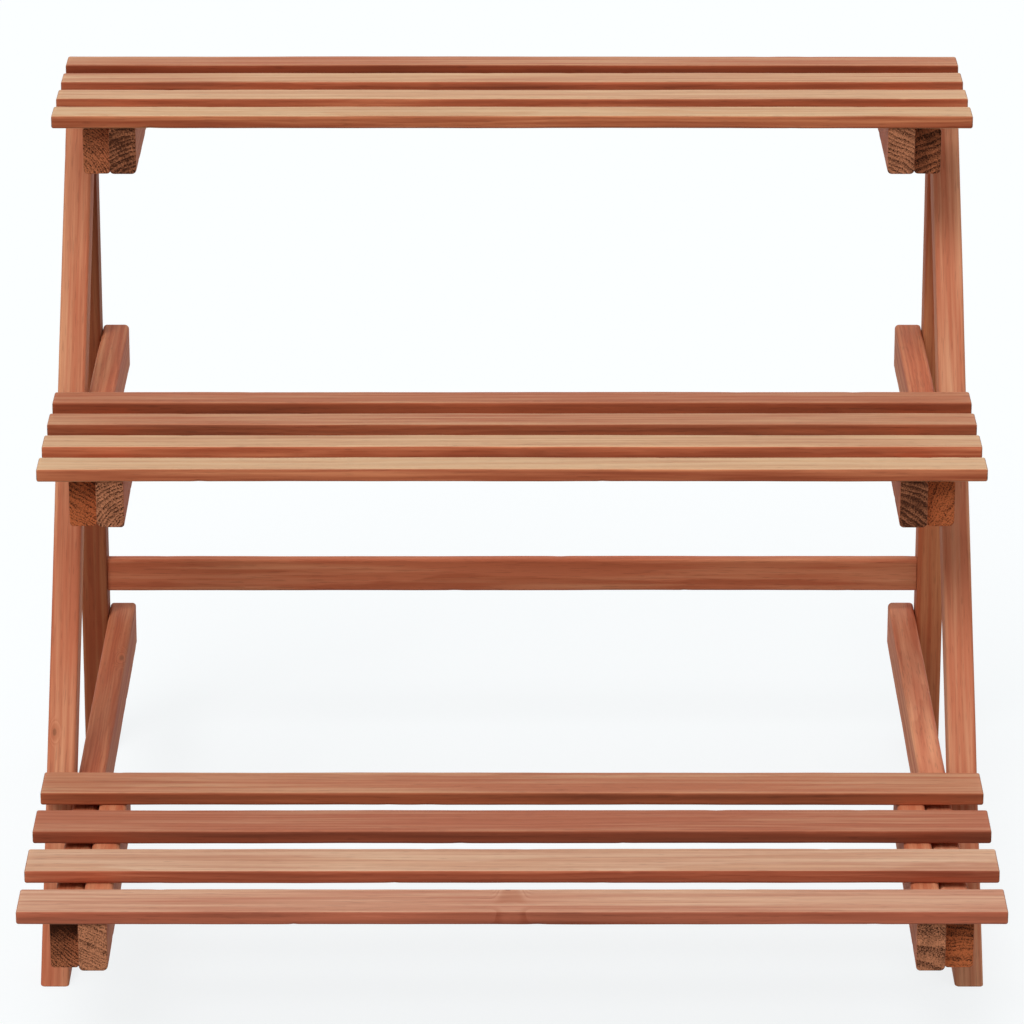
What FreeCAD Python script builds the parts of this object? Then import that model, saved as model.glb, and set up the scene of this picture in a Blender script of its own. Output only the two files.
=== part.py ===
import FreeCAD, Part
import Sketcher
import math
import os
import re

# A three-tier wooden plant stand, in millimetres.
#
# X runs across the stand, Y from the front (-) to the back (+) and Z up. The origin lies on the
# floor under the middle of the stand. Each side is a flat frame of three layers that touch face to
# face. From the outside in they are the legs (a sloping front leg and an upright rear leg in one
# plane), the arms that lap the legs' inner faces and reach forward, and the short bearers that the
# slats lie on. Every shelf is a row of slats across both sides, and one rail ties the rear legs.

TIERS = ("bottom", "middle", "top")
SIDES = ("left", "right")

# Name, value in millimetres or degrees, meaning.
DRIVING_SIZES = (
    ("slat_length", 480, "length of every slat, the width of the stand"),
    ("slat_thickness", 7, "thickness of every slat"),
    ("slat_edge_radius", 1.2, "rounding of a slat's long edges"),
    ("slats_per_tier", 4, "number of slats on each shelf"),
    ("bottom_slat_width", 28, "width of a slat on the bottom shelf"),
    ("middle_slat_width", 18.5, "width of a slat on the middle shelf"),
    ("top_slat_width", 18.5, "width of a slat on the top shelf"),
    ("bottom_slat_gap", 21.6, "gap between two slats of the bottom shelf"),
    ("middle_slat_gap", 16.3, "gap between two slats of the middle shelf"),
    ("top_slat_gap", 15.1, "gap between two slats of the top shelf"),
    ("bottom_tier_height", 91.5, "height of the bottom shelf's top"),
    ("middle_tier_height", 255, "height of the middle shelf's top"),
    ("top_tier_height", 398, "height of the top shelf's top, the height of the stand"),
    ("bottom_shelf_clearance", 4, "from the front leg to the bottom shelf's back edge"),
    ("middle_shelf_clearance", 10, "from the front leg to the middle shelf's back edge"),
    ("top_shelf_inset", 2, "from the rear leg's back face to the top shelf's back edge"),
    ("board_thickness", 14.5, "thickness of legs, arms and bearers"),
    ("board_height", 25, "height of arms and bearers"),
    ("bearer_edge_radius", 2, "rounding of the bearers' lower long edges"),
    ("frame_edge_bevel", 1.2, "bevel of the long edges of legs, arms and back rail"),
    ("frame_inset", 0.5, "from the slat ends to the legs' outer faces"),
    ("leg_depth", 20.5, "depth of a leg, square to its length"),
    ("leg_lean", 39, "degrees that the front leg leans back from upright"),
    ("leg_top_clearance", 0.5, "from the leg tops to the top slats' underside"),
    ("arm_drop", 3, "from a shelf's underside to its arm's top"),
    ("arm_setback", 12, "from a shelf's front edge to its arm's front end"),
    ("bearer_setback", 1.5, "from a shelf's front edge to its bearer's front end"),
    ("rail_height", 18.5, "height of the back rail"),
    ("rail_thickness", 7, "thickness of the back rail"),
    ("rail_level", 95, "height of the back rail's lower edge"),
    ("rail_setback", 3, "from the rear leg's front face to the rail's front face"),
    ("screw_radius", 1.7, "radius of a screw's shank"),
    ("screw_head_radius", 3.4, "radius of a screw's head"),
    ("screw_head_angle", 90, "full angle in degrees of the cone under a screw's head"),
    ("screw_clearance", 0.1, "from a shank to the side of its hole"),
    ("screw_end_clearance", 1, "from a screw's end to the bottom of its hole"),
    ("leg_screw_length", 25, "length of the screws from the legs into the arms"),
    ("rail_screw_length", 35, "length of the screws in the back rail's ends"),
    ("tip_screw_setback", 8.5, "from the rear leg to the screw in the front leg's tip"),
    ("tip_screw_rise", 7, "from the top arm's lower edge to that same screw"),
)

# Sizes that follow from the driving ones.
SHARED_SIZES = (
    ("leg_outer_x", "=slat_length / 2 - frame_inset"),
    ("arm_outer_x", "=leg_outer_x - board_thickness"),
    ("bearer_outer_x", "=arm_outer_x - board_thickness"),
    ("leg_top_z", "=top_tier_height - slat_thickness - leg_top_clearance"),
    ("leg_slope", "=tan(leg_lean * 1 deg)"),
    ("leg_level_depth", "=leg_depth / cos(leg_lean * 1 deg)"),
    ("bottom_shelf_depth", "=slats_per_tier * (bottom_slat_width + bottom_slat_gap) - bottom_slat_gap"),
    ("bottom_back_run", "=(leg_top_z - bottom_tier_height + slat_thickness) * leg_slope"),
    ("stand_depth", "=leg_depth + bottom_back_run + bottom_shelf_clearance + bottom_shelf_depth"),
    ("rear_face_y", "=stand_depth / 2"),
    ("rear_leg_front_y", "=rear_face_y - leg_depth"),
    ("foot_front_y", "=rear_leg_front_y - leg_top_z * leg_slope"),
    ("front_leg_cut_z", "=leg_top_z - leg_level_depth / leg_slope"),
    ("rail_front_y", "=rear_leg_front_y + rail_setback"),
    ("rail_length", "=2 * arm_outer_x"),
    ("screw_head_depth", "=(screw_head_radius - screw_radius) / tan(screw_head_angle / 2 * 1 deg)"),
    ("leg_screw_bite", "=leg_screw_length - board_thickness + screw_end_clearance"),
    ("rail_screw_bite", "=rail_screw_length - board_thickness + screw_end_clearance"),
)

# The same sizes for each shelf, "tier" standing for its name.
TIER_SIZES = (
    ("tier_underside", "=tier_tier_height - slat_thickness"),
    ("tier_pitch", "=tier_slat_width + tier_slat_gap"),
    ("tier_front_y", "=tier_back_y - slats_per_tier * tier_pitch + tier_slat_gap"),
    ("tier_arm_front_y", "=tier_front_y + arm_setback"),
    ("tier_arm_base_z", "=tier_underside - arm_drop - board_height"),
    ("tier_arm_middle_z", "=tier_arm_base_z + board_height / 2"),
    ("tier_arm_length", "=rear_face_y - tier_arm_front_y"),
    ("tier_bearer_front_y", "=tier_front_y + bearer_setback"),
    ("tier_bearer_base_z", "=tier_underside - board_height"),
    ("tier_bearer_length", "=tier_back_y - tier_bearer_front_y"),
    ("tier_crossing_y", "=foot_front_y + tier_arm_middle_z * leg_slope + leg_level_depth / 2"),
)
BACK_EDGES = {
    "bottom": "=foot_front_y + bottom_underside * leg_slope - bottom_shelf_clearance",
    "middle": "=foot_front_y + middle_underside * leg_slope - middle_shelf_clearance",
    "top": "=rear_face_y - top_shelf_inset",
}

# The screw in either end of the back rail, as its Y and Z.
RAIL_END = ("rail_front_y + rail_thickness / 2", "rail_level + rail_height / 2")

ACROSS = FreeCAD.Vector(1, 0, 0)
BACKWARD = FreeCAD.Vector(0, 1, 0)
UPWARD = FreeCAD.Vector(0, 0, 1)

doc = FreeCAD.newDocument("PlantStand")
sheet = doc.addObject("Spreadsheet::Sheet", "Sizes")
subparts = []
cuts = []


def fill_sheet():
    """Write the driving sizes and the sizes that follow from them, each under its name."""
    rows = list(DRIVING_SIZES)
    rows += [(name, formula, "") for name, formula in SHARED_SIZES]
    for tier in TIERS:
        rows.append((f"{tier}_back_y", BACK_EDGES[tier], ""))
        rows += [(n.replace("tier_", f"{tier}_", 1), in_tier(f, tier), "") for n, f in TIER_SIZES]
    for row, (name, size, meaning) in enumerate(rows, start=1):
        sheet.set(f"A{row}", name)
        sheet.set(f"B{row}", str(size))
        sheet.set(f"C{row}", meaning)
        sheet.setAlias(f"B{row}", name)
    doc.recompute()


def in_tier(formula, tier):
    """A formula of TIER_SIZES for one shelf: tier_x becomes bottom_x, and tier_tier_x bottom_tier_x."""
    return re.sub(r"\btier_", f"{tier}_", formula)


def sized(formula):
    """Point every size in a formula, such as slat_length / 2, at its cell."""
    return re.sub(r"\b([a-z]+(?:_[a-z]+)+)\b", r"Sizes.\1", formula)


def value(formula):
    """The present value of a formula."""
    return float(sheet.evalExpression(sized(formula)))


def new_body(name):
    """An empty body for one sub-part."""
    body = doc.addObject("PartDesign::Body", name)
    body.Label = name
    subparts.append(body)
    return body


def place(item, x, y, z):
    """Bind an object's place to three formulas."""
    for axis, formula in zip("xyz", (x, y, z)):
        item.setExpression(f"Placement.Base.{axis}", sized(formula))


def new_sketch(body, name, role, offset="0"):
    """A sketch on one of the body's own planes, moved along the plane's normal by a formula."""
    sketch = body.newObject("Sketcher::SketchObject", name)
    plane = next(f for f in body.Origin.OriginFeatures if f.Role == role)
    sketch.AttachmentSupport = [(plane, "")]
    sketch.MapMode = "FlatFace"
    if offset != "0":
        sketch.setExpression("AttachmentOffset.Base.z", sized(offset))
    return sketch


def pin_point(sketch, geometry, point, formulas):
    """Bind a point's two coordinates in the sketch to formulas."""
    for kind, formula in zip(("DistanceX", "DistanceY"), formulas):
        constraint = Sketcher.Constraint(kind, -1, 1, geometry, point, value(formula))
        index = sketch.addConstraint(constraint)
        sketch.setExpression(f"Constraints[{index}]", sized(formula))


def outline(sketch, corners):
    """A closed outline of straight lines through corners, each two formulas."""
    points = [FreeCAD.Vector(value(u), value(v), 0) for u, v in corners]
    count = len(points)
    for n in range(count):
        sketch.addGeometry(Part.LineSegment(points[n], points[(n + 1) % count]), False)
    for n in range(count):
        sketch.addConstraint(Sketcher.Constraint("Coincident", n, 2, (n + 1) % count, 1))
        pin_point(sketch, n, 1, corners[n])


def block_outline(sketch, width, height):
    """A rectangle from the sketch's origin."""
    outline(sketch, (("0", "0"), (width, "0"), (width, height), ("0", height)))


def pad(body, sketch, length):
    """The sketch's outline drawn out to a solid of some length."""
    feature = body.newObject("PartDesign::Pad", "Board")
    feature.Profile = sketch
    feature.setExpression("Length", sized(length))
    doc.recompute()
    return feature


def edges_along(feature, direction):
    """The names of a feature's straight edges that run in one direction, from the lowest up."""
    found = []
    for number, edge in enumerate(feature.Shape.Edges, start=1):
        along = edge.Vertexes[1].Point - edge.Vertexes[0].Point
        if along.cross(direction).Length < 1e-6 * along.Length:
            found.append((round(edge.CenterOfMass.z, 3), f"Edge{number}"))
    return [name for _, name in sorted(found)]


def ease_edges(body, kind, base, edges, size, formula):
    """Round or bevel edges of a feature: kind is Fillet or Chamfer, size the property it binds."""
    feature = body.newObject(f"PartDesign::{kind}", "EasedEdges")
    feature.Base = (base, edges)
    feature.setExpression(size, sized(formula))
    doc.recompute()


def round_edges(body, base, edges, radius):
    """Round edges of a feature to the named radius."""
    ease_edges(body, "Fillet", base, edges, "Radius", radius)


def bevel_edges(body, base, edges):
    """Bevel edges of a leg, arm or rail."""
    ease_edges(body, "Chamfer", base, edges, "Size", "frame_edge_bevel")


def hole_centres(body, name, offset, centres):
    """A sketch of a screw hole's circle at each centre, on a face across the stand's width."""
    radius = "screw_radius + screw_clearance"
    sketch = new_sketch(body, name, "YZ_Plane", offset)
    for index, centre in enumerate(centres):
        middle = FreeCAD.Vector(value(centre[0]), value(centre[1]), 0)
        circle = Part.Circle(middle, FreeCAD.Vector(0, 0, 1), value(radius))
        sketch.addGeometry(circle, False)
        constraint = sketch.addConstraint(Sketcher.Constraint("Radius", index, value(radius)))
        sketch.setExpression(f"Constraints[{constraint}]", sized(radius))
        pin_point(sketch, index, 3, centre)
    doc.recompute()
    return sketch


def pilot_holes(body, offset, inward, centres, depth):
    """Blind holes that screws bite in. inward is True where they run towards +X."""
    base = body.Tip
    sketch = hole_centres(body, "PilotCentres", offset, centres)
    feature = body.newObject("PartDesign::Pocket", "Pilots")
    feature.Profile = sketch
    feature.Reversed = inward
    feature.setExpression("Length", sized(depth))
    cuts.append((feature, base))
    doc.recompute()


def screw_holes(body, offset, inward, centres):
    """Holes right through a board, countersunk in its outer face."""
    base = body.Tip
    sketch = hole_centres(body, "HoleCentres", offset, centres)
    feature = body.newObject("PartDesign::Hole", "Holes")
    feature.Profile = sketch
    doc.recompute()
    feature.DepthType = "ThroughAll"
    feature.Reversed = inward
    feature.HoleCutType = "Countersink"
    feature.HoleCutCustomValues = True
    feature.setExpression("Diameter", sized("2 * (screw_radius + screw_clearance)"))
    feature.setExpression("HoleCutDiameter", sized("2 * screw_head_radius"))
    feature.setExpression("HoleCutCountersinkAngle", sized("screw_head_angle"))
    cuts.append((feature, base))
    doc.recompute()


def from_outside(side):
    """Where a board's outer face lies in its own X, and whether inward is along +X."""
    return ("0", True) if side == "left" else ("board_thickness", False)


def board_x(side, outer_x):
    """The X of a board's left face, for a board whose outer face is outer_x from the middle."""
    return f"-{outer_x}" if side == "left" else f"{outer_x} - board_thickness"


def shifted(centres, y, z):
    """Centres in the stand's own Y and Z, counted from a board's corner at y, z."""
    return [(f"{cy} - ({y})", f"{cz} - ({z})") for cy, cz in centres]


def front_leg_screw(tier):
    """The screw from the front leg into an arm, as its Y and Z."""
    if tier == "top":
        return "rear_leg_front_y - tip_screw_setback", "top_arm_base_z + tip_screw_rise"
    return f"{tier}_crossing_y", f"{tier}_arm_middle_z"


def rear_leg_screw(tier):
    """The screw from the rear leg into an arm, as its Y and Z."""
    return "rear_face_y - leg_depth / 2", f"{tier}_arm_middle_z"


def make_slat(tier, index):
    """One slat across both sides, counted from the front of its shelf."""
    body = new_body(f"{tier}_slat_{index + 1}")
    section = new_sketch(body, "Section", "YZ_Plane")
    block_outline(section, f"{tier}_slat_width", "slat_thickness")
    base = pad(body, section, "slat_length")
    round_edges(body, base, edges_along(base, ACROSS), "slat_edge_radius")
    place(body, "-slat_length / 2", f"{tier}_front_y + {index} * {tier}_pitch", f"{tier}_underside")


def level_board(body, length):
    """A board on edge that runs from front to back, and the names of its two lower long edges."""
    section = new_sketch(body, "Side", "YZ_Plane")
    block_outline(section, length, "board_height")
    base = pad(body, section, "board_thickness")
    return base, edges_along(base, BACKWARD)[:2]


def make_bearer(tier, side):
    """The short board that one end of a shelf's slats lies on."""
    body = new_body(f"{side}_{tier}_bearer")
    base, lower_edges = level_board(body, f"{tier}_bearer_length")
    round_edges(body, base, lower_edges, "bearer_edge_radius")
    place(body, board_x(side, "bearer_outer_x"), f"{tier}_bearer_front_y", f"{tier}_bearer_base_z")


def make_arm(tier, side):
    """The long board from under a shelf's front to the rear leg's back face, outside the bearer."""
    body = new_body(f"{side}_{tier}_arm")
    base, lower_edges = level_board(body, f"{tier}_arm_length")
    bevel_edges(body, base, lower_edges)
    front, foot = f"{tier}_arm_front_y", f"{tier}_arm_base_z"
    face, inward = from_outside(side)
    pilots = shifted([front_leg_screw(tier), rear_leg_screw(tier)], front, foot)
    pilot_holes(body, face, inward, pilots, "leg_screw_bite")
    place(body, board_x(side, "arm_outer_x"), front, foot)


def make_front_leg(side):
    """The sloping leg, level at the foot and cut upright where it meets the rear leg."""
    body = new_body(f"{side}_front_leg")
    section = new_sketch(body, "Side", "YZ_Plane")
    corners = (
        ("0", "0"),
        ("leg_level_depth", "0"),
        ("leg_top_z * leg_slope", "front_leg_cut_z"),
        ("leg_top_z * leg_slope", "leg_top_z"),
    )
    outline(section, corners)
    base = pad(body, section, "board_thickness")
    lean = math.radians(value("leg_lean"))
    along_leg = FreeCAD.Vector(0, math.sin(lean), math.cos(lean))
    bevel_edges(body, base, edges_along(base, along_leg))
    face, inward = from_outside(side)
    holes = shifted([front_leg_screw(tier) for tier in TIERS], "foot_front_y", "0")
    screw_holes(body, face, inward, holes)
    place(body, board_x(side, "leg_outer_x"), "foot_front_y", "0")


def make_rear_leg(side):
    """The upright leg, in one plane with the front leg."""
    body = new_body(f"{side}_rear_leg")
    section = new_sketch(body, "Side", "YZ_Plane")
    block_outline(section, "leg_depth", "leg_top_z")
    base = pad(body, section, "board_thickness")
    bevel_edges(body, base, edges_along(base, UPWARD))
    face, inward = from_outside(side)
    centres = [rear_leg_screw(tier) for tier in TIERS] + [RAIL_END]
    screw_holes(body, face, inward, shifted(centres, "rear_leg_front_y", "0"))
    place(body, board_x(side, "leg_outer_x"), "rear_leg_front_y", "0")


def make_back_rail():
    """The rail on edge between the rear legs' inner faces, of the same stock as an upper slat."""
    body = new_body("back_rail")
    section = new_sketch(body, "Section", "YZ_Plane")
    block_outline(section, "rail_thickness", "rail_height")
    base = pad(body, section, "rail_length")
    bevel_edges(body, base, edges_along(base, ACROSS))
    centre = shifted([RAIL_END], "rail_front_y", "rail_level")
    pilot_holes(body, "0", True, centre, "rail_screw_bite")
    pilot_holes(body, "rail_length", False, centre, "rail_screw_bite")
    place(body, "-rail_length / 2", "rail_front_y", "rail_level")


def screw_form(name, length):
    """One countersunk screw, turned from half its profile. Its head ends at height 0, its shank below."""
    body = doc.addObject("PartDesign::Body", name)
    half = new_sketch(body, "HalfProfile", "XZ_Plane")
    profile = (
        ("0", "0"),
        ("screw_head_radius", "0"),
        ("screw_radius", "-screw_head_depth"),
        ("screw_radius", f"-{length}"),
        ("0", f"-{length}"),
    )
    outline(half, profile)
    turned = body.newObject("PartDesign::Revolution", "Turned")
    turned.Profile = half
    turned.ReferenceAxis = (half, ["V_Axis"])
    turned.Angle = 360
    doc.recompute()
    return body


def make_screws(name, length, centres):
    """Equal screws at each Y and Z in centres, through both sides' outer faces and pointing inward."""
    form = screw_form(f"{name}_form", length)
    copies = []
    for side, angle in zip(SIDES, (-90, 90)):
        for y, z in centres:
            copy = doc.addObject("App::Link", f"{name}_{len(copies) + 1}")
            copy.LinkedObject = form
            copy.Placement = FreeCAD.Placement(FreeCAD.Vector(), FreeCAD.Rotation(BACKWARD, angle))
            place(copy, "-leg_outer_x" if side == "left" else "leg_outer_x", y, z)
            copies.append(copy)
    group = doc.addObject("Part::Compound", name)
    group.Label = name
    group.Links = copies
    subparts.append(group)


def check_document():
    """Stop if an object failed, a cut took nothing away or a sub-part's shape isn't sound."""
    for item in doc.Objects:
        if "Invalid" in item.State or "Error" in item.State:
            raise RuntimeError(f"{item.Name} failed: {item.State}")
    for feature, base in cuts:
        if not feature.Shape.Volume < base.Shape.Volume - 1:
            raise RuntimeError(f"{feature.Name} cut nothing away")
    for part in subparts:
        if part.Shape.isNull() or not part.Shape.isValid():
            raise RuntimeError(f"{part.Label} has no sound shape")


def write_parts():
    """Write each sub-part to a file of its own name."""
    os.makedirs("parts", exist_ok=True)
    for part in subparts:
        part.Shape.exportStep(f"parts/{part.Label}.step")


fill_sheet()
for tier_name in TIERS:
    for slat_index in range(int(value("slats_per_tier"))):
        make_slat(tier_name, slat_index)
    for side_name in SIDES:
        make_bearer(tier_name, side_name)
        make_arm(tier_name, side_name)
for side_name in SIDES:
    make_front_leg(side_name)
    make_rear_leg(side_name)
make_back_rail()
in_arms = [screw(tier) for tier in TIERS for screw in (front_leg_screw, rear_leg_screw)]
make_screws("leg_screws", "leg_screw_length", in_arms)
make_screws("rail_screws", "rail_screw_length", [RAIL_END])
doc.recompute()
check_document()
write_parts()
print(f"{len(subparts)} sub-parts, {sum(len(p.Shape.Solids) for p in subparts)} solids")
print("depth", round(value("stand_depth"), 2), "mm")
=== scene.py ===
import math
import bpy
import numpy as np
from mathutils import Matrix, Vector


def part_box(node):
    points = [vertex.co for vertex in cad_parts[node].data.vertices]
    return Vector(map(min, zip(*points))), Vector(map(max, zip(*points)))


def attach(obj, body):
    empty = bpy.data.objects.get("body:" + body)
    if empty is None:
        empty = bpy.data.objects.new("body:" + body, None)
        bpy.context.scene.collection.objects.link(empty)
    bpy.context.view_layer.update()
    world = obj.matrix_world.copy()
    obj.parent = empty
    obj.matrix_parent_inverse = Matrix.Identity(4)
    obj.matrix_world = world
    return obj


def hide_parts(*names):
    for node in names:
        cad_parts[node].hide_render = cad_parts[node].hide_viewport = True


# The plant stand's looks: every board of planed cedar with its own grain, and its steel screws.
# Lengths are in metres in the stand's frame: X across, Y to the back and Z up. A board's own
# coordinates run from its middle: X along the grain, Y across its width and Z through its height.

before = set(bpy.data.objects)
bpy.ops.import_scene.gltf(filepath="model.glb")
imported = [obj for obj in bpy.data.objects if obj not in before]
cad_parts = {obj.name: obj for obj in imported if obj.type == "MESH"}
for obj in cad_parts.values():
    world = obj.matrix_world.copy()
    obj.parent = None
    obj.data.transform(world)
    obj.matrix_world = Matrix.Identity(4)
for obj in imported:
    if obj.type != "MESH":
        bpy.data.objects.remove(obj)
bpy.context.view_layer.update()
MM = 0.001

TIERS = ("bottom", "middle", "top")
SIDES = ("left", "right")
SLATS_PER_TIER = 4

X, Y, Z = Vector((1, 0, 0)), Vector((0, 1, 0)), Vector((0, 0, 1))
# Length, width and height of a board that lies across, of one to the back and of an upright one.
ALONG_X, ALONG_Y, ALONG_Z = (X, Y, Z), (Y, Z, X), (Z, X, Y)

# In millimetres for each kind of board: the rounding of its long edges, the smaller rounding of its
# ends' arrises, and how far its sides stand back from the boards beside it, which leaves the dark
# line of a real joint.
EDGE_RADIUS = {"slat": 1.3, "rail": 1.3, "bearer": 2.2, "arm": 2.2, "leg": 1.9}
END_BREAK = {"slat": 1.1, "rail": 0.4, "bearer": 0.5, "arm": 0.5, "leg": 0.5}
JOINT_GAP = {"slat": 0.0, "rail": 0.0, "bearer": 0.2, "arm": 0.2, "leg": 0.0}
LEG_DEPTH = 20.5 * MM

# How uneven a planed board is: its bow, the change of its edges' rounding, and the lengths in
# metres of the waves of both. Each finer wave is lower by the same share.
BOW = 0.12 * MM
BOW_WAVES = (0.9, 0.37, 0.13)
RADIUS_CHANGE = 0.22
RADIUS_WAVES = (0.21, 0.08, 0.03)
WAVE_FALL = 0.55
WAVE_SUM = 1.6
LEAST_RADIUS = 0.1 * MM

# Dents in the long edges: how many, how much rounder they make an edge, and how far each spreads.
DENTS_PER_EDGE = 3
DENT_GROWTH = 0.5
DENT_STRENGTH = (0.3, 1)
DENT_SPREAD = (1.5, 4)

# What is added to a board's number to draw its dents, its bow both ways and its looks, and how far
# apart the numbers of its four edges are.
DENT_SEED = 500
WIDTH_BOW_SEED = 101
HEIGHT_BOW_SEED = 202
LOOKS_SEED = 900
EDGE_SEED_STEP = 11

# How finely a board is divided: along it, round a corner, on a flat and round an end's arris.
STATION_SPACING = 2.5 * MM
LEAST_STATIONS = 12
ARC_STEPS = 6
FLAT_STEPS = 3
END_STEPS = 3
WOOD_SHARP_ANGLE = 40

# Screws: shank, core of the thread, head, the slight sink of the head below the wood, and lengths.
SHANK_RADIUS = 1.7 * MM
CORE_RADIUS = 1.25 * MM
HEAD_RADIUS = 3.4 * MM
HEAD_SINK = 0.15 * MM
RIM_THICKNESS = 0.25 * MM
RIM_SHARE = 0.985
THREAD_PITCH = 1.6 * MM
SMOOTH_SHARE = 0.3
POINT_LENGTH = 5 * MM
POINT_SHARE = 0.06
LEG_SCREW = 25 * MM
RAIL_SCREW = 35 * MM
BEARER_SCREW = 24 * MM
SLAT_SCREW = 29 * MM

# A head's cross recess: its reach, half width and depth, and how softly it ends, sides and bottoms.
RECESS_REACH = 2.0 * MM
RECESS_HALF_WIDTH = 0.55 * MM
RECESS_DEPTH = 1.3 * MM
RECESS_END_SLOPE = 0.5 * MM
RECESS_SIDE_SLOPE = 0.22 * MM
RECESS_TAPER = 2.4 * MM

# How finely a screw is divided, and how far its recess is turned from that of the screw before it.
SCREW_SIDES = 44
HEAD_RINGS = 15
ROWS_PER_THREAD = 4
SCREW_TURN = 0.7
SCREW_SHARP_ANGLE = 35

# Holes: their clearances, how far their space runs on past the surface, the radius that it closes
# to, and their depths: through a leg or an arm, up through a bearer, and a pilot hole, which is as
# deep as its screw is long, less the leg's 14.5 mm, plus 1 mm.
HOLE_CLEARANCE = 0.1 * MM
RIM_CLEARANCE = 0.05 * MM
HOLE_OVERRUN = 1.5 * MM
HOLE_POINT = 0.05 * MM
HOLE_SIDES = 32
THROUGH_HOLE = 16 * MM
BEARER_HOLE = 26 * MM
PILOT_SHORTFALL = 13.5 * MM


# ---------------------------------------------------------------- surfaces

def waves(places, seed, lengths):
    """A smooth random line between about -1 and 1: a sum of sines of falling length and height."""
    draw = np.random.default_rng(seed)
    total = np.zeros_like(places)
    for order, length in enumerate(lengths):
        phase = draw.uniform(0, 2 * math.pi)
        total += WAVE_FALL ** order * np.sin(2 * math.pi * places / length + phase)
    return total / WAVE_SUM


def edge_radii(places, radius, seed):
    """The rounding along each of a board's four long edges.

    It is the named radius times the sum of 1, a slow wave and a few bell-shaped dents."""
    draw = np.random.default_rng(seed + DENT_SEED)
    radii = []
    for edge in range(4):
        change = 1 + RADIUS_CHANGE * waves(places, seed + EDGE_SEED_STEP * edge, RADIUS_WAVES)
        for _ in range(DENTS_PER_EDGE):
            middle = draw.uniform(places[0], places[-1])
            spread = draw.uniform(*DENT_SPREAD) * MM
            strength = DENT_GROWTH * draw.uniform(*DENT_STRENGTH)
            change += strength * np.exp(-((places - middle) / spread) ** 2)
        radii.append(radius * change)
    return np.array(radii).T


def section_round(half_width, half_height, radii):
    """Rounded rectangles, one for each row of radii, with the share of rounding at each point.

    A point on corner c at angle t is the corner's centre plus its radius times (cos t, sin t), and
    a point on a flat is the straight mix of the two arc ends beside it."""
    signs = np.array([(1, 1), (-1, 1), (-1, -1), (1, -1)])
    first, second, angle, share, rounding = [], [], [], [], []
    for corner in range(4):
        for step in range(ARC_STEPS + 1):
            first.append(corner)
            second.append(corner)
            angle.append((corner + step / ARC_STEPS) * math.pi / 2)
            share.append(0)
            rounding.append(math.sin(math.pi * step / ARC_STEPS))
        for step in range(1, FLAT_STEPS):
            first.append(corner)
            second.append((corner + 1) % 4)
            angle.append((corner + 1) * math.pi / 2)
            share.append(step / FLAT_STEPS)
            rounding.append(0)
    turn = np.stack([np.cos(angle), np.sin(angle)], axis=-1)
    half = np.stack([half_width, half_height], axis=-1)[:, None, :]

    def on_corner(corners):
        r = radii[:, corners][:, :, None]
        return signs[corners][None] * (half - r) + r * turn[None]

    mix = np.array(share)[None, :, None]
    points = on_corner(first) * (1 - mix) + on_corner(second) * mix
    return points, np.array(rounding)


def board_surface(length, half_width, half_height, radius, end_break, seed,
                  start_cut=None, end_cut=None):
    """A board as a grid: rounded sections in rings along it, with broken arrises at both ends.

    Columns are the place along the board and the two places across it. A cut gives how far an end
    lies beyond the square end at each point across the board."""
    count = max(LEAST_STATIONS, int(length / STATION_SPACING))
    turn = np.linspace(0, math.pi / 2, END_STEPS + 1)
    inset = end_break * (1 - np.sin(turn))
    setback = end_break * (1 - np.cos(turn))
    share = np.linspace(0, 1, count)[1:-1]
    between = end_break * (1 - 2 * share)
    share = np.concatenate([np.zeros(END_STEPS + 1), share, np.ones(END_STEPS + 1)])
    inset = np.concatenate([inset, np.zeros(count - 2), inset[::-1]])
    setback = np.concatenate([setback, between, -setback[::-1]])
    along = share * length
    radii = np.maximum(edge_radii(along, radius, seed) - inset[:, None], LEAST_RADIUS)
    points, rounding = section_round(half_width - inset, half_height - inset, radii)
    rings, round_count = points.shape[:2]
    width = points[:, :, 0] + BOW * waves(along, seed + WIDTH_BOW_SEED, BOW_WAVES)[:, None]
    height = points[:, :, 1] + BOW * waves(along, seed + HEIGHT_BOW_SEED, BOW_WAVES)[:, None]
    start = start_cut(points[:, :, 0], points[:, :, 1]) if start_cut else 0
    end = end_cut(points[:, :, 0], points[:, :, 1]) if end_cut else 0
    place = start + share[:, None] * (length + end - start) + setback[:, None]
    place = np.broadcast_to(place, width.shape)
    vertices = np.stack([place, width, height], axis=-1).reshape(-1, 3)
    arris = np.broadcast_to(rounding, (rings, round_count)).copy()
    arris[:END_STEPS + 1] = 1
    arris[-END_STEPS - 1:] = 1
    return vertices, tube_faces(rings, round_count), arris.ravel()


def tube_faces(rings, round_count):
    """Four-sided faces between closed rings of points, and one face on each end."""
    ring, turn = np.meshgrid(np.arange(rings - 1), np.arange(round_count), indexing="ij")
    here, beside = ring * round_count + turn, ring * round_count + (turn + 1) % round_count
    quads = np.stack([here, beside, beside + round_count, here + round_count], axis=-1)
    faces = quads.reshape(-1, 4).tolist()
    faces.append(list(range(round_count))[::-1])
    faces.append(list(range((rings - 1) * round_count, rings * round_count)))
    return faces


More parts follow.
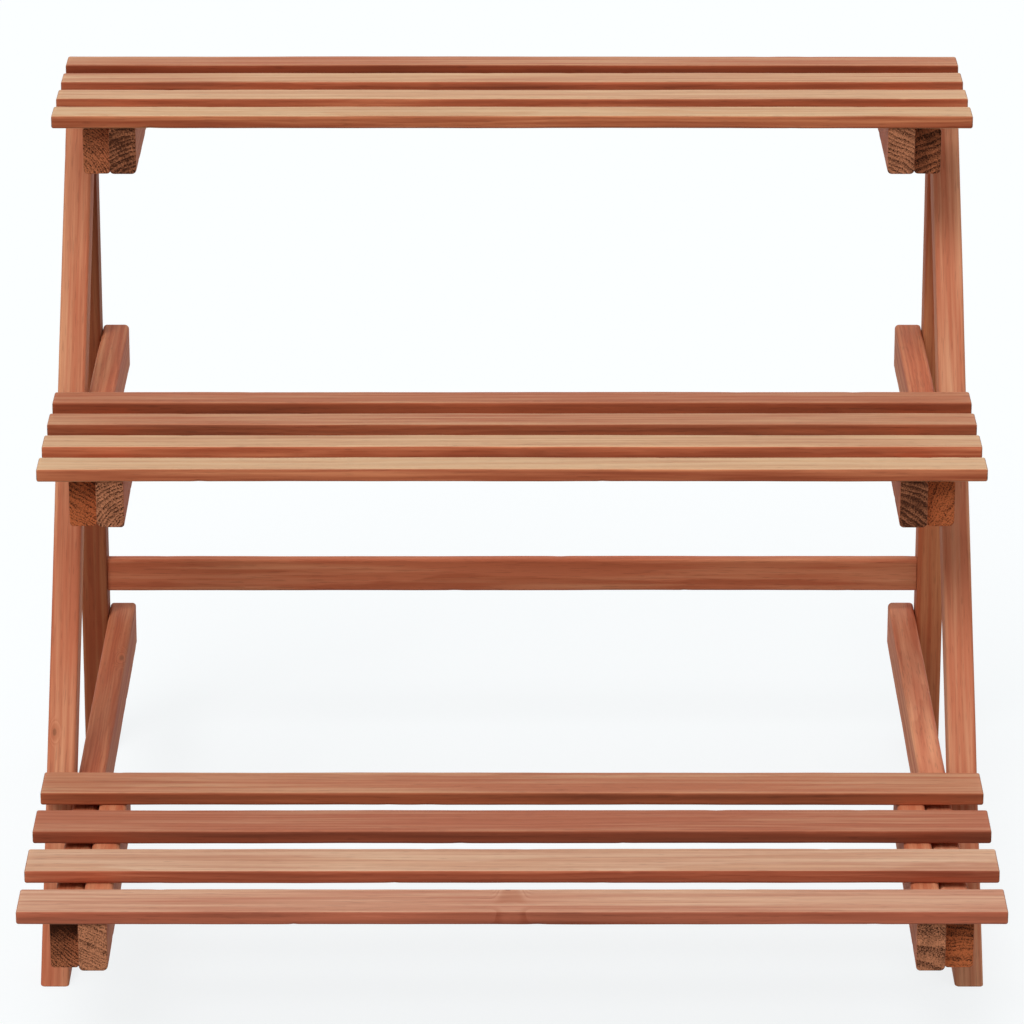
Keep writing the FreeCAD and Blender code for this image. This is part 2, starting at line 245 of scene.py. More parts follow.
def turned_surface(heights, radii, place, axis, round_count=HOLE_SIDES):
    """A closed form turned about an axis through a place, from its top down.

    A point is the place plus its height along the axis plus its radius times the turned direction.
    Heights and radii are lists, or tables with a column for each angle."""
    heights, radii = np.asarray(heights, float), np.asarray(radii, float)
    if heights.ndim == 1:
        heights = np.repeat(heights[:, None], round_count, axis=1)
        radii = np.repeat(radii[:, None], round_count, axis=1)
    angles = np.linspace(0, 2 * math.pi, round_count, endpoint=False)
    axis = Vector(axis)
    side = axis.orthogonal().normalized()
    other = axis.cross(side)
    spokes = np.cos(angles)[:, None] * np.array(side) + np.sin(angles)[:, None] * np.array(other)
    points = np.array(place) + heights[:, :, None] * np.array(axis)
    points = points + radii[:, :, None] * spokes[None]
    faces = [face[::-1] for face in tube_faces(len(heights), round_count)]
    return points.reshape(-1, 3), faces


def joined(surfaces):
    """Several lists of points and faces as one."""
    points, faces, count = [], [], 0
    for these_points, these_faces in surfaces:
        faces += [[number + count for number in face] for face in these_faces]
        points.append(these_points)
        count += len(these_points)
    return np.concatenate(points), faces


def make_mesh(name, points, faces, sharp_angle=WOOD_SHARP_ANGLE):
    """A mesh, smooth but for the edges that turn by more than the sharp angle, in degrees."""
    mesh = bpy.data.meshes.new(name)
    mesh.from_pydata(points.tolist(), [], faces)
    mesh.shade_smooth()
    mesh.set_sharp_from_angle(angle=math.radians(sharp_angle))
    return mesh


def make_piece(name, mesh, material, slot, *nodes):
    """A piece of the stand, which stands for the nodes of the frame that are named."""
    piece = bpy.data.objects.new(name, mesh)
    bpy.context.scene.collection.objects.link(piece)
    mesh.materials.clear()
    mesh.materials.append(material)
    smooth = piece.modifiers.new("smooth_flats", "WEIGHTED_NORMAL")
    smooth.keep_sharp = True
    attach(piece, "root")
    if nodes:
        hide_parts(*nodes)


# ---------------------------------------------------------------- shader helpers

def add_node(tree, kind, inputs=None, **settings):
    """A node with its settings and inputs, which are values or other nodes' outputs."""
    made = tree.nodes.new(kind)
    for key, value in settings.items():
        setattr(made, key, value)
    for key, value in (inputs or {}).items():
        if isinstance(value, bpy.types.NodeSocket):
            tree.links.new(value, made.inputs[key])
        else:
            made.inputs[key].default_value = value
    return made


def maths(tree, operation, *values):
    """The result of one operation on numbers."""
    made = add_node(tree, "ShaderNodeMath", dict(enumerate(values)), operation=operation)
    return made.outputs[0]


def vectors(tree, operation, *values):
    """The result of one operation on vectors."""
    made = add_node(tree, "ShaderNodeVectorMath", dict(enumerate(values)), operation=operation)
    return made.outputs["Value" if operation in ("DOT_PRODUCT", "LENGTH") else "Vector"]


def mixed(tree, share, first, second, blend="MIX"):
    """A share of the second colour in the first, or the share of their blend."""
    inputs = {0: share, 6: first, 7: second}
    return add_node(tree, "ShaderNodeMix", inputs, data_type="RGBA", blend_type=blend).outputs[2]


def stepped(tree, value, low, high, to_low=0.0, to_high=1.0):
    """A soft step: to_low where value is under low, to_high where it is over high."""
    inputs = {0: value, 1: low, 2: high, 3: to_low, 4: to_high}
    return add_node(tree, "ShaderNodeMapRange", inputs, interpolation_type="SMOOTHSTEP").outputs[0]


def noise(tree, place, sizes, detail=1.0, roughness=0.5):
    """Noise between 0 and 1 whose blotches are about sizes long along each axis."""
    scaled = vectors(tree, "MULTIPLY", place, tuple(1 / size for size in sizes))
    inputs = {"Vector": scaled, "Scale": 1.0, "Detail": detail, "Roughness": roughness}
    return add_node(tree, "ShaderNodeTexNoise", inputs).outputs[0]


def line_noise(tree, value, scale=1.0, detail=0.0):
    """Noise between 0 and 1 along one value."""
    inputs = {"W": value, "Scale": scale, "Detail": detail}
    return add_node(tree, "ShaderNodeTexNoise", inputs, noise_dimensions="1D").outputs[0]


def scaled_sum(tree, start, *terms):
    """start plus each value times its weight."""
    for value, weight in terms:
        start = maths(tree, "MULTIPLY_ADD", value, weight, start)
    return start


def grey_of(tree, value):
    """A grey as light as the value."""
    return add_node(tree, "ShaderNodeCombineColor", {0: value, 1: value, 2: value}).outputs[0]


def new_group(name, inputs, outputs):
    """An empty node group with named inputs, each a socket type and a value, and named outputs."""
    group = bpy.data.node_groups.new(name, "ShaderNodeTree")
    for key, (kind, value) in inputs.items():
        socket = group.interface.new_socket(key, in_out="INPUT", socket_type=kind)
        socket.default_value = value
    for key, kind in outputs.items():
        group.interface.new_socket(key, in_out="OUTPUT", socket_type=kind)
    given = group.nodes.new("NodeGroupInput").outputs
    made = group.nodes.new("NodeGroupOutput").inputs
    return group, given, made


# ---------------------------------------------------------------- cedar

# Colours of heartwood and sapwood, early and late in a year's ring, of knots and of sawn ends.
HEART_EARLY = (0.455, 0.160, 0.082, 1)
HEART_LATE = (0.315, 0.082, 0.035, 1)
SAP_EARLY = (0.640, 0.415, 0.245, 1)
SAP_LATE = (0.560, 0.290, 0.150, 1)
KNOT_BROWN = (0.200, 0.070, 0.032, 1)
END_BROWN = (0.080, 0.021, 0.007, 1)
END_TAN = (0.560, 0.220, 0.108, 1)
END_RUST = (0.560, 0.150, 0.050, 1)
# The tint of a slat's narrow faces, and the share of it that the back one gets.
EDGE_TINT = (0.900, 0.640, 0.520)
BACK_EDGE = 0.5
WOOD_IOR = 1.5
WOOD_SPECULAR = 0.16

# How much a face has to look sideways to be a narrow one, and lengthwise to be a sawn end.
EDGE_FROM = (0.6, 0.8)
END_FROM = (0.55, 0.75)

# How far each board's grain is shifted for each step of its number, so that no two look alike.
SEED_SHIFT = (937.0, 113.0, 71.0)

# The sizes in millimetres of all that varies in the wood, along the grain and across it.
WANDER_SIZE = (190, 30, 30)
RIPPLE_SIZE = (20, 4, 4)
BLOTCH_SIZE = (120, 22, 22)
STREAK_SIZE = (130, 3.2, 3.2)
FIBRE_SIZE = (18, 0.45, 0.45)
PIN_SIZE = (9, 0.6, 0.6)
TORN_SIZE = (4, 0.7, 0.7)
PATCH_SIZE = (9, 7, 7)

# Growth rings: how far in millimetres they wander and ripple, the shift that these make on average,
# how their widths vary, and where in a ring its late wood grows and stops.
WANDER = 10.0
RIPPLE = 1.1
USUAL_SHIFT = 5.5
WIDTH_CHANGE = 1.5
WIDTH_CHANGE_RATE = 0.37
LATE_GROWS = (0.15, 0.85)
LATE_STOPS = (1.0, 0.9)
RAYS_ROUND = 85.0

# A knot: the least size that counts, where its rim fades, and how steeply its swirl falls off, what
# share of the rings' change it takes away and how many millimetres it lifts them by.
LEAST_KNOT = 0.02
KNOT_RIM = (1.15, 0.6)
SWIRL_POWER = 4.0
SWIRL_FALL = 1.2
SWIRL_FLATTENING = 0.92
SWIRL_RISE = 5.8

# Where an end's painted shade starts and is full, in millimetres above the board's middle: the
# shadow of the slat above, painted darker towards the end's top.
PAINTED_SHADE_HEIGHTS = (-1.0, 11.0)

ACROSS_GRAIN = (0, 1, 1)
FLOAT, VECTOR, COLOUR = "NodeSocketFloat", "NodeSocketVector", "NodeSocketColor"


def growth_rings():
    """Growth rings of a board in board millimetres, X along the grain.

    Turned is 1 at the middle of the swirl beside a knot. It falls off as the exponential of minus
    the fourth power of the way from there, in reaches, times 1.2.
    Phase is the distance from the log's heart, plus slow noise that makes the rings wander, over
    the ring width. In the swirl that distance flattens towards its value at the middle and rises a
    little, so that the rings part round the knot. Late is the dark late wood, which grows towards
    the ring's outer edge and then ends sharply. Rays run out from the heart."""
    inputs = {
        "Place": (VECTOR, (0, 0, 0)),
        "Grain": (VECTOR, (0, 0, 0)),
        "Heart": (VECTOR, (0, 60, 20)),
        "Ring width": (FLOAT, 3.0),
        "Knot": (VECTOR, (0, 0, 0)),
        "Knot radii": (VECTOR, (0, 0, 0)),
        "Swirl": (VECTOR, (0, 0, 0)),
        "Swirl reach": (VECTOR, (10, 5, 10)),
    }
    outputs = {"Late": FLOAT, "Knot": FLOAT, "Turned": FLOAT, "Rays": FLOAT}
    group, given, made = new_group("growth_rings", inputs, outputs)
    place, grain, heart, swirl = given["Place"], given["Grain"], given["Heart"], given["Swirl"]

    def from_heart(point):
        way = vectors(group, "SUBTRACT", point, heart)
        return vectors(group, "MULTIPLY", way, ACROSS_GRAIN)

    size = vectors(group, "LENGTH", given["Knot radii"])
    knotted = maths(group, "GREATER_THAN", size, LEAST_KNOT)
    swirl_way = vectors(group, "SUBTRACT", place, swirl)
    reach = vectors(group, "LENGTH", vectors(group, "DIVIDE", swirl_way, given["Swirl reach"]))
    fall = maths(group, "MULTIPLY", maths(group, "POWER", reach, SWIRL_POWER), -SWIRL_FALL)
    turned = maths(group, "MULTIPLY", maths(group, "EXPONENT", fall), knotted)
    group.links.new(turned, made["Turned"])

    away = from_heart(place)
    wander = noise(group, grain, WANDER_SIZE)
    ripple = noise(group, grain, RIPPLE_SIZE, 0)
    distance = vectors(group, "LENGTH", away)
    distance = scaled_sum(group, distance, (wander, WANDER), (ripple, RIPPLE))
    middle = maths(group, "ADD", vectors(group, "LENGTH", from_heart(swirl)), USUAL_SHIFT)
    kept = scaled_sum(group, 1.0, (turned, -SWIRL_FLATTENING))
    beyond = maths(group, "SUBTRACT", distance, middle)
    distance = scaled_sum(group, middle, (beyond, kept), (turned, SWIRL_RISE))
    phase = maths(group, "DIVIDE", distance, given["Ring width"])
    varied = line_noise(group, phase, WIDTH_CHANGE_RATE)
    part = maths(group, "FRACT", scaled_sum(group, phase, (varied, WIDTH_CHANGE)))
    grown, stopped = stepped(group, part, *LATE_GROWS), stepped(group, part, *LATE_STOPS)
    group.links.new(maths(group, "MULTIPLY", grown, stopped), made["Late"])

    knot_way = vectors(group, "SUBTRACT", place, given["Knot"])
    inner = vectors(group, "LENGTH", vectors(group, "DIVIDE", knot_way, given["Knot radii"]))
    knot = maths(group, "MULTIPLY", stepped(group, inner, *KNOT_RIM), knotted)
    group.links.new(knot, made["Knot"])

    parts = add_node(group, "ShaderNodeSeparateXYZ", {0: away}).outputs
    angle = maths(group, "ARCTAN2", parts[1], parts[2])
    group.links.new(line_noise(group, angle, RAYS_ROUND, 1.0), made["Rays"])
    return group


def cedar_face():
    """The planed faces: early and late wood of heart or sap, blotches, streaks, fibres and pins.

    Edge is 1 on the narrow faces, which are cut across the rings and are redder and darker. Their
    edge tint is partly painted shade: on the rear slats it darkens them for the shade in the gaps."""
    inputs = {
        "Grain": (VECTOR, (0, 0, 0)),
        "Late": (FLOAT, 0.0),
        "Knot": (FLOAT, 0.0),
        "Turned": (FLOAT, 0.0),
        "Tone": (FLOAT, 0.5),
        "Tint": (COLOUR, (1, 1, 1, 1)),
        "Edge": (FLOAT, 0.0),
        "Edge tint and shade": (COLOUR, (*EDGE_TINT, 1)),
        "Streaks": (FLOAT, 1.0),
        "Figure": (FLOAT, 0.6),
        "Arris": (FLOAT, 0.0),
    }
    outputs = {"Colour": COLOUR, "Roughness": FLOAT, "Height": FLOAT}
    group, given, made = new_group("cedar_face", inputs, outputs)
    grain, late, edge = given["Grain"], given["Late"], given["Edge"]
    blotch = noise(group, grain, BLOTCH_SIZE)
    streak = noise(group, grain, STREAK_SIZE, 2, 0.6)
    fibre = noise(group, grain, FIBRE_SIZE, 1, 0.6)
    pins = noise(group, grain, PIN_SIZE, 0)

    varied = scaled_sum(group, -1.2, (blotch, 0.9), (streak, 1.5))
    tone = scaled_sum(group, given["Tone"], (varied, given["Streaks"]), (edge, -0.75))
    tone = add_node(group, "ShaderNodeClamp", {0: tone}).outputs[0]
    early_wood = mixed(group, tone, HEART_EARLY, SAP_EARLY)
    late_wood = mixed(group, tone, HEART_LATE, SAP_LATE)
    figure = scaled_sum(group, given["Figure"], (given["Turned"], 0.35))
    shown = maths(group, "MULTIPLY", late, figure)
    colour = mixed(group, shown, early_wood, late_wood)
    colour = mixed(group, 1.0, colour, given["Tint"], "MULTIPLY")
    edge_colour = mixed(group, 1.0, colour, given["Edge tint and shade"], "MULTIPLY")
    colour = mixed(group, edge, colour, edge_colour)

    pin = stepped(group, pins, 0.62, 0.78, 1.0, 0.84)
    patchy = scaled_sum(group, -1.0, (blotch, 1.0), (streak, 1.0))
    patchy = maths(group, "MULTIPLY", patchy, edge)
    grey = scaled_sum(group, 0.83, (streak, 0.20), (fibre, 0.14), (patchy, 0.9))
    grey = maths(group, "MULTIPLY", grey, pin)
    grey = scaled_sum(group, grey, (given["Arris"], 0.04))
    colour = mixed(group, 1.0, colour, grey_of(group, grey), "MULTIPLY")
    colour = mixed(group, maths(group, "MULTIPLY", given["Knot"], 0.65), colour, KNOT_BROWN)
    group.links.new(colour, made["Colour"])

    rough = scaled_sum(group, 0.60, (fibre, 0.18), (shown, -0.05))
    group.links.new(rough, made["Roughness"])
    height = scaled_sum(group, 0.0, (fibre, 0.05), (streak, 0.06), (late, 0.02), (pin, 0.03))
    group.links.new(height, made["Height"])
    return group


def cedar_end():
    """The sawn ends: dark, rough, with the rings as rows of dark dashes, rays and torn fibres.

    Painted shade darkens an end towards its top, standing in for the shadow of the slat above it."""
    inputs = {
        "Place": (VECTOR, (0, 0, 0)),
        "Grain": (VECTOR, (0, 0, 0)),
        "Late": (FLOAT, 0.0),
        "Rays": (FLOAT, 0.5),
        "Dark": (FLOAT, 0.5),
        "Rust": (FLOAT, 0.0),
        "Painted shade": (FLOAT, 0.0),
    }
    outputs = {"Colour": COLOUR, "Roughness": FLOAT, "Height": FLOAT}
    group, given, made = new_group("cedar_end", inputs, outputs)
    grain, late, rays = given["Grain"], given["Late"], given["Rays"]
    torn = noise(group, grain, TORN_SIZE, 2, 0.75)
    patch = noise(group, grain, PATCH_SIZE, 0)
    pores = stepped(group, torn, 0.30, 0.52, 0.30, 1.0)
    dashes = maths(group, "MULTIPLY", late, stepped(group, torn, 0.62, 0.36))

    light = scaled_sum(group, 0.30, (patch, 0.7), (torn, 0.9), (rays, 0.35))
    light = scaled_sum(group, light, (late, -0.20), (dashes, -0.65), (given["Dark"], -0.85))
    upwards = add_node(group, "ShaderNodeSeparateXYZ", {0: given["Place"]}).outputs[1]
    # Painted shade: darker towards the end's top, for the shadow of the slat above.
    painted_shade = maths(group, "MULTIPLY", stepped(group, upwards, *PAINTED_SHADE_HEIGHTS), given["Painted shade"])
    light = maths(group, "SUBTRACT", light, painted_shade)
    light = add_node(group, "ShaderNodeClamp", {0: light}).outputs[0]
    colour = mixed(group, light, END_BROWN, mixed(group, given["Rust"], END_TAN, END_RUST))
    colour = mixed(group, 1.0, colour, grey_of(group, pores), "MULTIPLY")
    group.links.new(colour, made["Colour"])

    group.links.new(scaled_sum(group, 0.78, (torn, 0.15)), made["Roughness"])
    height = scaled_sum(group, 0.0, (torn, 0.45), (rays, 0.08), (dashes, -0.18))
    group.links.new(height, made["Height"])
    return group


RINGS, FACE, END = growth_rings(), cedar_face(), cedar_end()


def cedar(name, centre, axes, seed, looks):
    """Cedar for one board: axes are its length, width and height, and looks come from looks_of."""
    material = bpy.data.materials.new(name)
    material.use_nodes = True
    tree = material.node_tree
    shader = tree.nodes["Principled BSDF"]
    shader.inputs["IOR"].default_value = WOOD_IOR
    shader.inputs["Specular IOR Level"].default_value = WOOD_SPECULAR

    turn = Matrix([list(axis) for axis in axes]).transposed().to_euler()
    coordinates = add_node(tree, "ShaderNodeTexCoord").outputs
    inputs = {"Vector": coordinates["Object"], "Location": centre, "Rotation": turn,
              "Scale": (MM, MM, MM)}
    place = add_node(tree, "ShaderNodeMapping", inputs, vector_type="TEXTURE").outputs[0]
    grain = vectors(tree, "ADD", place, tuple(seed * shift for shift in SEED_SHIFT))
    lengthwise, sideways = [vectors(tree, "DOT_PRODUCT", coordinates["Normal"], axis)
                            for axis in axes[:2]]
    arris = add_node(tree, "ShaderNodeAttribute", attribute_name="arris").outputs["Fac"]
    starts, full = EDGE_FROM
    front_edge = stepped(tree, sideways, -starts, -full, 0.0, looks["edge_share"])
    back_edge = stepped(tree, sideways, starts, full, 0.0, BACK_EDGE * looks["edge_share"])
    edge = maths(tree, "ADD", front_edge, back_edge)

    rings = add_node(tree, "ShaderNodeGroup", node_tree=RINGS)
    face = add_node(tree, "ShaderNodeGroup", node_tree=FACE)
    end = add_node(tree, "ShaderNodeGroup", node_tree=END)
    knot_place, knot_radii, swirl_place, swirl_reach = looks["knot"]
    given = {
        rings: {
            "Place": place, "Grain": grain, "Heart": (0, *looks["heart"]),
            "Ring width": looks["ring"], "Knot": knot_place, "Knot radii": knot_radii,
            "Swirl": swirl_place, "Swirl reach": swirl_reach,
        },
        face: {
            "Grain": grain, "Late": rings.outputs["Late"], "Knot": rings.outputs["Knot"],
            "Turned": rings.outputs["Turned"], "Tone": looks["tone"], "Tint": looks["tint"],
            "Edge": edge, "Edge tint and shade": looks["edge_tint_and_shade"], "Streaks": looks["streaks"],
            "Figure": looks["figure"], "Arris": arris,
        },
        end: {
            "Place": place, "Grain": grain, "Late": rings.outputs["Late"],
            "Rays": rings.outputs["Rays"], "Dark": looks["dark"], "Rust": looks["rust"],
            "Painted shade": looks["painted_shade"],
        },
    }
    for group, values in given.items():
        for key, value in values.items():
            if isinstance(value, bpy.types.NodeSocket):
                tree.links.new(value, group.inputs[key])
            else:
                group.inputs[key].default_value = value

    at_end = stepped(tree, maths(tree, "ABSOLUTE", lengthwise), *END_FROM)
    colour = mixed(tree, at_end, face.outputs["Colour"], end.outputs["Colour"])
    both = {}
    for key in ("Roughness", "Height"):
        inputs = {0: at_end, 2: face.outputs[key], 3: end.outputs[key]}
        both[key] = add_node(tree, "ShaderNodeMix", inputs).outputs[0]
    inputs = {"Height": both["Height"], "Distance": MM, "Strength": 1.0}
    bump = add_node(tree, "ShaderNodeBump", inputs)
    tree.links.new(colour, shader.inputs["Base Color"])
    tree.links.new(both["Roughness"], shader.inputs["Roughness"])
    tree.links.new(bump.outputs[0], shader.inputs["Normal"])
    return material


# ---------------------------------------------------------------- screws

# Zinc-plated steel's colours, the near black of the painted shade in its drive recess, and the
# sizes in millimetres of its clouds and scratches.
ZINC_DARK = (0.24, 0.23, 0.21, 1)
ZINC_LIGHT = (0.44, 0.42, 0.38, 1)
RECESS_PAINTED_SHADE = (0.05, 0.045, 0.04, 1)
CLOUD_SIZE = (2.5, 2.5, 2.5)
SCRATCH_SIZE = (0.2, 3.0, 0.25)
SCRATCH_DEPTH = 0.03 * MM


def steel():
    """Zinc-plated steel: a dull warm grey with fine scratches, and painted shade in the drive
    recess.
    """
    material = bpy.data.materials.new("zinc_plated_steel")
    material.use_nodes = True
    tree = material.node_tree
    shader = tree.nodes["Principled BSDF"]
    shader.inputs["Metallic"].default_value = 1.0
    place = vectors(tree, "SCALE", add_node(tree, "ShaderNodeTexCoord").outputs["Object"])
    place.node.inputs["Scale"].default_value = 1 / MM
    cloud = noise(tree, place, CLOUD_SIZE, 2)
    scratch = noise(tree, place, SCRATCH_SIZE, 1)
    recess = add_node(tree, "ShaderNodeAttribute", attribute_name="recess").outputs["Fac"]
    colour = mixed(tree, cloud, ZINC_DARK, ZINC_LIGHT)
    # Painted shade: the drive recess is darkened towards near black.
    colour = mixed(tree, maths(tree, "MULTIPLY", recess, 0.8), colour, RECESS_PAINTED_SHADE)
    tree.links.new(colour, shader.inputs["Base Color"])
    rough = maths(tree, "ADD", 0.26, maths(tree, "MULTIPLY", scratch, 0.3))
    tree.links.new(rough, shader.inputs["Roughness"])
    bump = add_node(tree, "ShaderNodeBump", {"Height": scratch, "Distance": SCRATCH_DEPTH})
    tree.links.new(bump.outputs[0], shader.inputs["Normal"])
    return material


STEEL = steel()


def screw_surface(length, place, axis, turn):
    """A countersunk wood screw: its head's rim lies at place and its axis points out of the wood.

    The head's top dips in a cross recess, the deeper of two strips, each a soft product of its two
    depths. Below the cone the shank's radius rises and falls with height and angle together, which
    winds the thread."""
    angles = np.linspace(0, 2 * math.pi, SCREW_SIDES, endpoint=False)
    top_radii = np.linspace(0.02, 1, HEAD_RINGS)[:, None] * HEAD_RADIUS
    along = top_radii * np.cos(angles + turn)
    across = top_radii * np.sin(angles + turn)

    def strip(far, near):
        reached = np.clip((RECESS_REACH - np.abs(far)) / RECESS_END_SLOPE, 0, 1)
        return reached * np.clip((RECESS_HALF_WIDTH - np.abs(near)) / RECESS_SIDE_SLOPE, 0, 1)

    cross = np.maximum(strip(along, across), strip(across, along))
    depth = cross * RECESS_DEPTH * np.clip(1.25 - top_radii / RECESS_TAPER, 0.2, 1)
    top = -HEAD_SINK - depth
    rim = np.full((1, SCREW_SIDES), HEAD_RADIUS * RIM_SHARE)
    cone_bottom = -HEAD_SINK - (HEAD_RADIUS - SHANK_RADIUS)
    row_count = int(length / THREAD_PITCH * ROWS_PER_THREAD)
    rows = np.linspace(cone_bottom, -length, row_count)[:, None]
    ridge = 1 - 2 * np.abs((rows / THREAD_PITCH + angles / (2 * math.pi)) % 1 - 0.5)
    started = np.clip((cone_bottom - rows) / (SMOOTH_SHARE * length), 0, 1)
    taper = np.clip((rows + length) / POINT_LENGTH, POINT_SHARE, 1)
    crest = CORE_RADIUS + (SHANK_RADIUS - CORE_RADIUS) * np.clip(ridge * 1.6 - 0.6, 0, 1)
    thread = ((1 - started) * SHANK_RADIUS + started * crest) * taper
    shank_rows = np.repeat(rows, SCREW_SIDES, axis=1)
    heights = np.concatenate([top, top[-1:] - RIM_THICKNESS, shank_rows])
    radii = np.concatenate([np.repeat(top_radii, SCREW_SIDES, axis=1), rim, thread])
    recess = np.zeros(heights.shape)
    recess[:len(top)] = cross
    points, faces = turned_surface(heights, radii, place, axis, SCREW_SIDES)
    return points, faces, recess.ravel()


def make_screws(name, length, places, *nodes):
    """Equal screws at each place and axis as one piece."""
    parts = [screw_surface(length, place, axis, SCREW_TURN * number)
             for number, (place, axis) in enumerate(places)]
    points, faces = joined([part[:2] for part in parts])
    mesh = make_mesh(name, points, faces, SCREW_SHARP_ANGLE)
    depths = np.concatenate([part[2] for part in parts]).astype(np.float32)
    mesh.attributes.new("recess", "FLOAT", "POINT").data.foreach_set("value", depths)
    make_piece(name, mesh, STEEL, "screw_steel", *nodes)


def countersunk_hole(place, axis, depth):
    """The space of a screw hole and its countersink, running on past the surface."""
    hole = SHANK_RADIUS + HOLE_CLEARANCE
    rim = HEAD_RADIUS + RIM_CLEARANCE
    heights = [HOLE_OVERRUN, HOLE_OVERRUN, 0, hole - rim, -depth, -depth]
    return turned_surface(heights, [HOLE_POINT, rim, rim, hole, hole, HOLE_POINT], place, axis)


def plain_hole(place, axis, depth):
    """The space of a straight screw hole, running on past the surface."""
    hole = SHANK_RADIUS + HOLE_CLEARANCE
    heights = [HOLE_OVERRUN, HOLE_OVERRUN, -depth, -depth]
    return turned_surface(heights, [HOLE_POINT, hole, hole, HOLE_POINT], place, axis)


def drilled(mesh, holes):
    """The mesh with the holes' spaces taken away."""
    if not holes:
        return mesh
    points, faces = joined(holes)
    cutter = bpy.data.objects.new("hole_space", make_mesh("hole_space", points, faces))
    work = bpy.data.objects.new("drilled_board", mesh)
    for item in (cutter, work):
        bpy.context.scene.collection.objects.link(item)
    cut = work.modifiers.new("holes", "BOOLEAN")
    cut.operation, cut.object, cut.solver = "DIFFERENCE", cutter, "EXACT"
    view = bpy.context.evaluated_depsgraph_get()
    result = bpy.data.meshes.new_from_object(work.evaluated_get(view))
    for item in (cutter, work):
        bpy.data.objects.remove(item)
    result.set_sharp_from_angle(angle=math.radians(WOOD_SHARP_ANGLE))
    return result


# ---------------------------------------------------------------- boards

# Each board's tone, from red heartwood at 0 to pale sapwood at 1, as lengths of timber differ.
TONES = {
    "bottom_slat_1": 0.50, "bottom_slat_2": 0.75, "bottom_slat_3": 0.05, "bottom_slat_4": 0.18,
    "middle_slat_1": 0.92, "middle_slat_2": 0.78, "middle_slat_3": 0.28, "middle_slat_4": 0.06,
    "top_slat_1": 0.92, "top_slat_2": 0.74, "top_slat_3": 0.60, "top_slat_4": 0.15,
    "left_front_leg": 0.20, "right_front_leg": 0.20, "back_rail": 0.05,
}
FRAME_TONE = 0.15

# The tints of boards that are pinker, duller or darker than the rest of their kind, and those of
# the narrow faces of slats that differ from EDGE_TINT. The rear legs' dark tints are painted shade,
# and the bottom arms are tinted darker on the left and lighter on the right.
TINTS_AND_SHADE = {
    "bottom_slat_1": (1.03, 1.01, 1.14),
    "bottom_slat_2": (1.00, 0.98, 1.09),
    "bottom_slat_3": (0.93, 0.87, 0.90),
    "top_slat_1": (0.95, 0.93, 0.90),
    "left_bottom_arm": (1.00, 0.76, 0.65),
    "right_bottom_arm": (1.37, 1.18, 1.14),
    "left_front_leg": (1.09, 0.92, 0.86),
    "right_front_leg": (1.14, 1.03, 1.00),
    # Painted shade: the rear legs are darkened for the shade that falls on them behind the front
    # legs.
    "left_rear_leg": (0.54, 0.36, 0.26),
    "right_rear_leg": (1.04, 0.80, 0.62),
}
# Painted shade: the rear slats' darker edge tints stand in for the shade in the gaps between slats.
EDGE_TINTS_AND_SHADE = {
    "bottom_slat_1": (0.87, 0.72, 0.66),
    "bottom_slat_3": (0.56, 0.40, 0.33),
    "bottom_slat_4": (0.72, 0.53, 0.42),
    "middle_slat_2": (1.06, 0.80, 0.68),
    "middle_slat_3": (0.68, 0.52, 0.43),
    "middle_slat_4": (0.69, 0.46, 0.35),
    "top_slat_3": (1.00, 0.72, 0.60),
    "top_slat_4": (0.52, 0.31, 0.22),
}

# Each bearer's and arm's end as it was sawn: the log's heart from its middle, up and to the right
# in millimetres, the width of its rings, how dark and how rusty it is, and how much painted
# shade, the slat's shadow, darkens its top, each from 0.
SAWN_ENDS = {
    "left_top_arm": ((-45, -45), 1.4, 0.34, 0.5, 0.0),
    "left_top_bearer": ((-60, 25), 2.4, 1.10, 0.2, 0.0),
    "right_top_bearer": ((-55, -35), 2.4, 0.56, 0.0, 0.0),
    "right_top_arm": ((-60, 25), 3.8, 0.84, 0.5, 0.0),
    "left_middle_arm": ((50, 40), 2.2, 0.12, 1.0, 0.35),
    "left_middle_bearer": ((-30, 25), 2.1, 0.50, 0.0, 0.0),
    "right_middle_bearer": ((-60, -30), 3.4, 1.16, 0.1, 0.0),
    "right_middle_arm": ((30, -50), 1.8, 0.12, 1.0, 0.0),
    "left_bottom_arm": ((45, 45), 1.5, 0.62, 0.5, 0.9),
    "left_bottom_bearer": ((-60, -28), 1.9, 0.26, 0.0, 0.0),
    "right_bottom_bearer": ((-90, -15), 7.4, 0.60, 0.0, 0.0),
    "right_bottom_arm": ((80, 3), 2.4, 0.14, 1.0, 0.6),
}
# For the other boards: how far off the heart may be, how wide the rings, and how the ends look.
HEART_DISTANCES = (25, 110)
RING_WIDTHS = (2.0, 4.6)
USUAL_END = (0.45, 0.3, 0.0)

# Knots in board millimetres: the place and radii of the dark core, and the place and reach of the
# swirl that it gives the rings.
KNOTS = {
    "bottom_slat_1": ((-2, 13.5, 3.5), (1.9, 2.4, 5), (-0.5, 3, 3.5), (7.5, 60, 14)),
    "left_bottom_arm": ((133, 12.5, 4.7), (4.5, 4, 1.3), (133, 12.5, 4.7), (14, 9, 4)),
    "left_front_leg": ((-116, -3.8, -10.2), (2.2, 1.1, 3), (-116, -3.8, -10.2), (7, 3, 4)),
}
NO_KNOT = ((0, 0, 0), (0, 0, 0), (0, 0, 0), (1, 1, 1))

# For each kind of board: its tint, its share of edge colour, and how strong its streaks and its
# figure are, which is drawn between two values.
SLAT_TINT = (1.0, 1.0, 1.0)
FRAME_TINT = (1.16, 0.94, 0.84)
KIND_LOOKS = {
    "slat": (SLAT_TINT, 1.0, 0.85, (0.3, 0.52)),
    "rail": (FRAME_TINT, 0.0, 0.8, (0.4, 0.5)),
    "bearer": (FRAME_TINT, 0.0, 0.8, (0.3, 0.5)),
    "arm": (FRAME_TINT, 0.0, 0.8, (0.3, 0.5)),
    "leg": (FRAME_TINT, 0.0, 0.9, (0.15, 0.3)),
}


